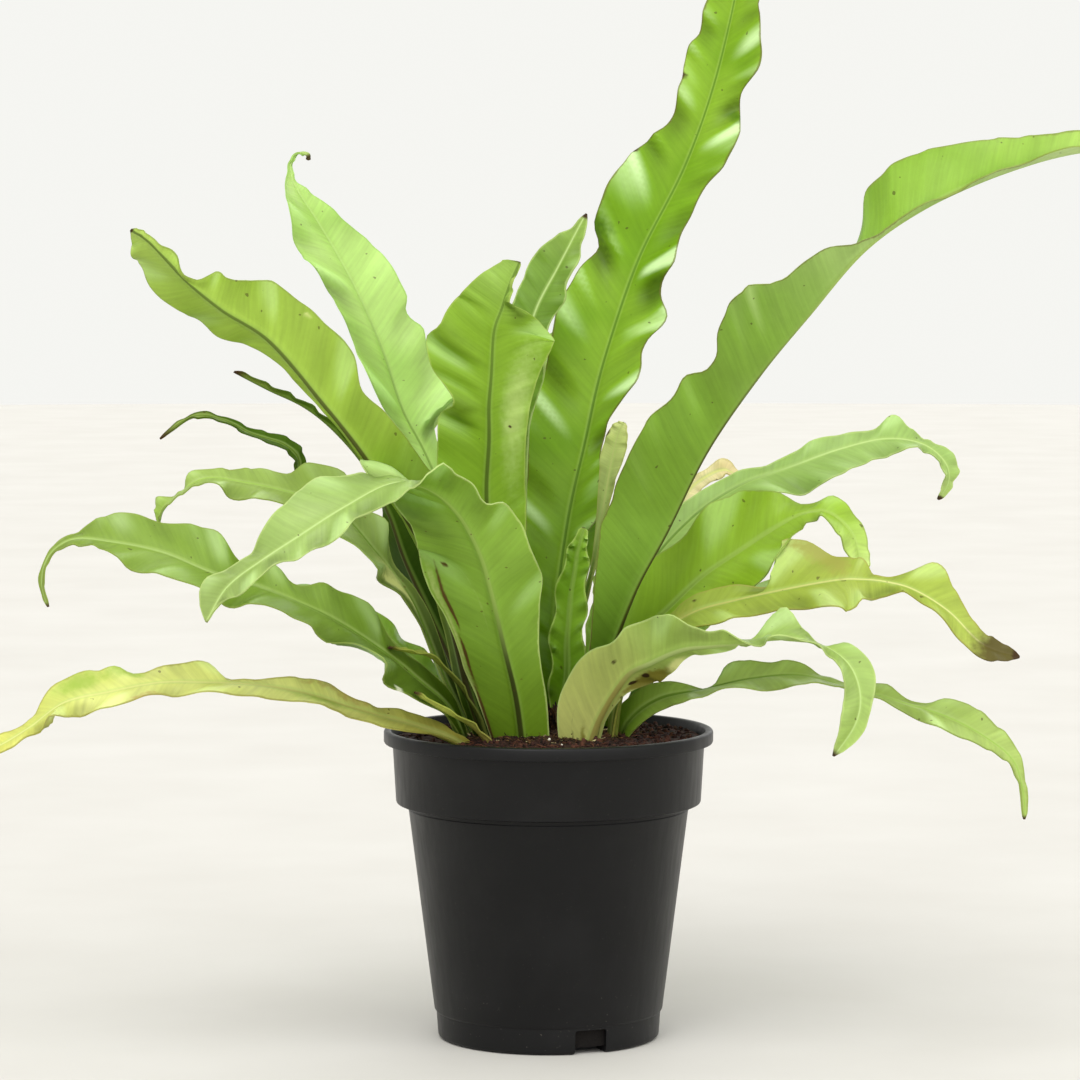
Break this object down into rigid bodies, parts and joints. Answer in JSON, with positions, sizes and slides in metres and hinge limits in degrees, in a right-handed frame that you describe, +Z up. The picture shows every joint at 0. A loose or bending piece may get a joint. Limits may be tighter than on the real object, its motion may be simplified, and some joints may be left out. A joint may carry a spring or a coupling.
{
  "type": "potted fern",
  "caption": "Strap-leaved fern with long arching, waved fronds growing from a central crown in a round tapered plastic nursery pot filled with soil.",
  "frame": {"origin": "middle of the flat base that the pot stands on", "axes": "+Z up, the side shown in the picture faces -Y, +X to the right of that side"},
  "size_m": [0.4751, 0.3207, 0.4575],
  "materials": {
    "pot": "satin",
    "soil": "matte",
    "crown": "matte",
    "frond_green": "satin",
    "frond_pale": "satin",
    "frond_dark": "satin",
    "frond_yellow": "satin",
    "frond_straw": "matte"
  },
  "bodies": {
    "root": {"pot": "pot", "soil": "soil", "crown": "crown", "frond_tall_centre": "frond_green", "frond_tall_right": "frond_green", "frond_high_left": "frond_green", "frond_pale_left": "frond_pale", "frond_broad_centre": "frond_green", "frond_slim_centre": "frond_pale", "frond_front_arched": "frond_pale", "frond_long_left": "frond_green", "frond_yellow_low": "frond_yellow", "frond_mid_left": "frond_green", "frond_curled_left": "frond_dark", "frond_rolled_left": "frond_dark", "frond_front_right": "frond_pale", "frond_low_right": "frond_green", "frond_bright_right": "frond_green", "frond_yellow_green": "frond_yellow", "frond_upper_right": "frond_pale", "frond_small_pale": "frond_straw", "frond_withered_curl": "frond_straw", "frond_young_tall": "frond_pale", "frond_young_short": "frond_green", "stub_upper": "frond_straw", "stub_lower": "frond_straw", "frond_back_upright": "frond_green", "frond_back_right": "frond_green", "frond_back_left": "frond_green", "frond_back_high": "frond_pale", "frond_back_short": "frond_green", "frond_side_right": "frond_green", "frond_side_left": "frond_green"}
  },
  "joints": []
}
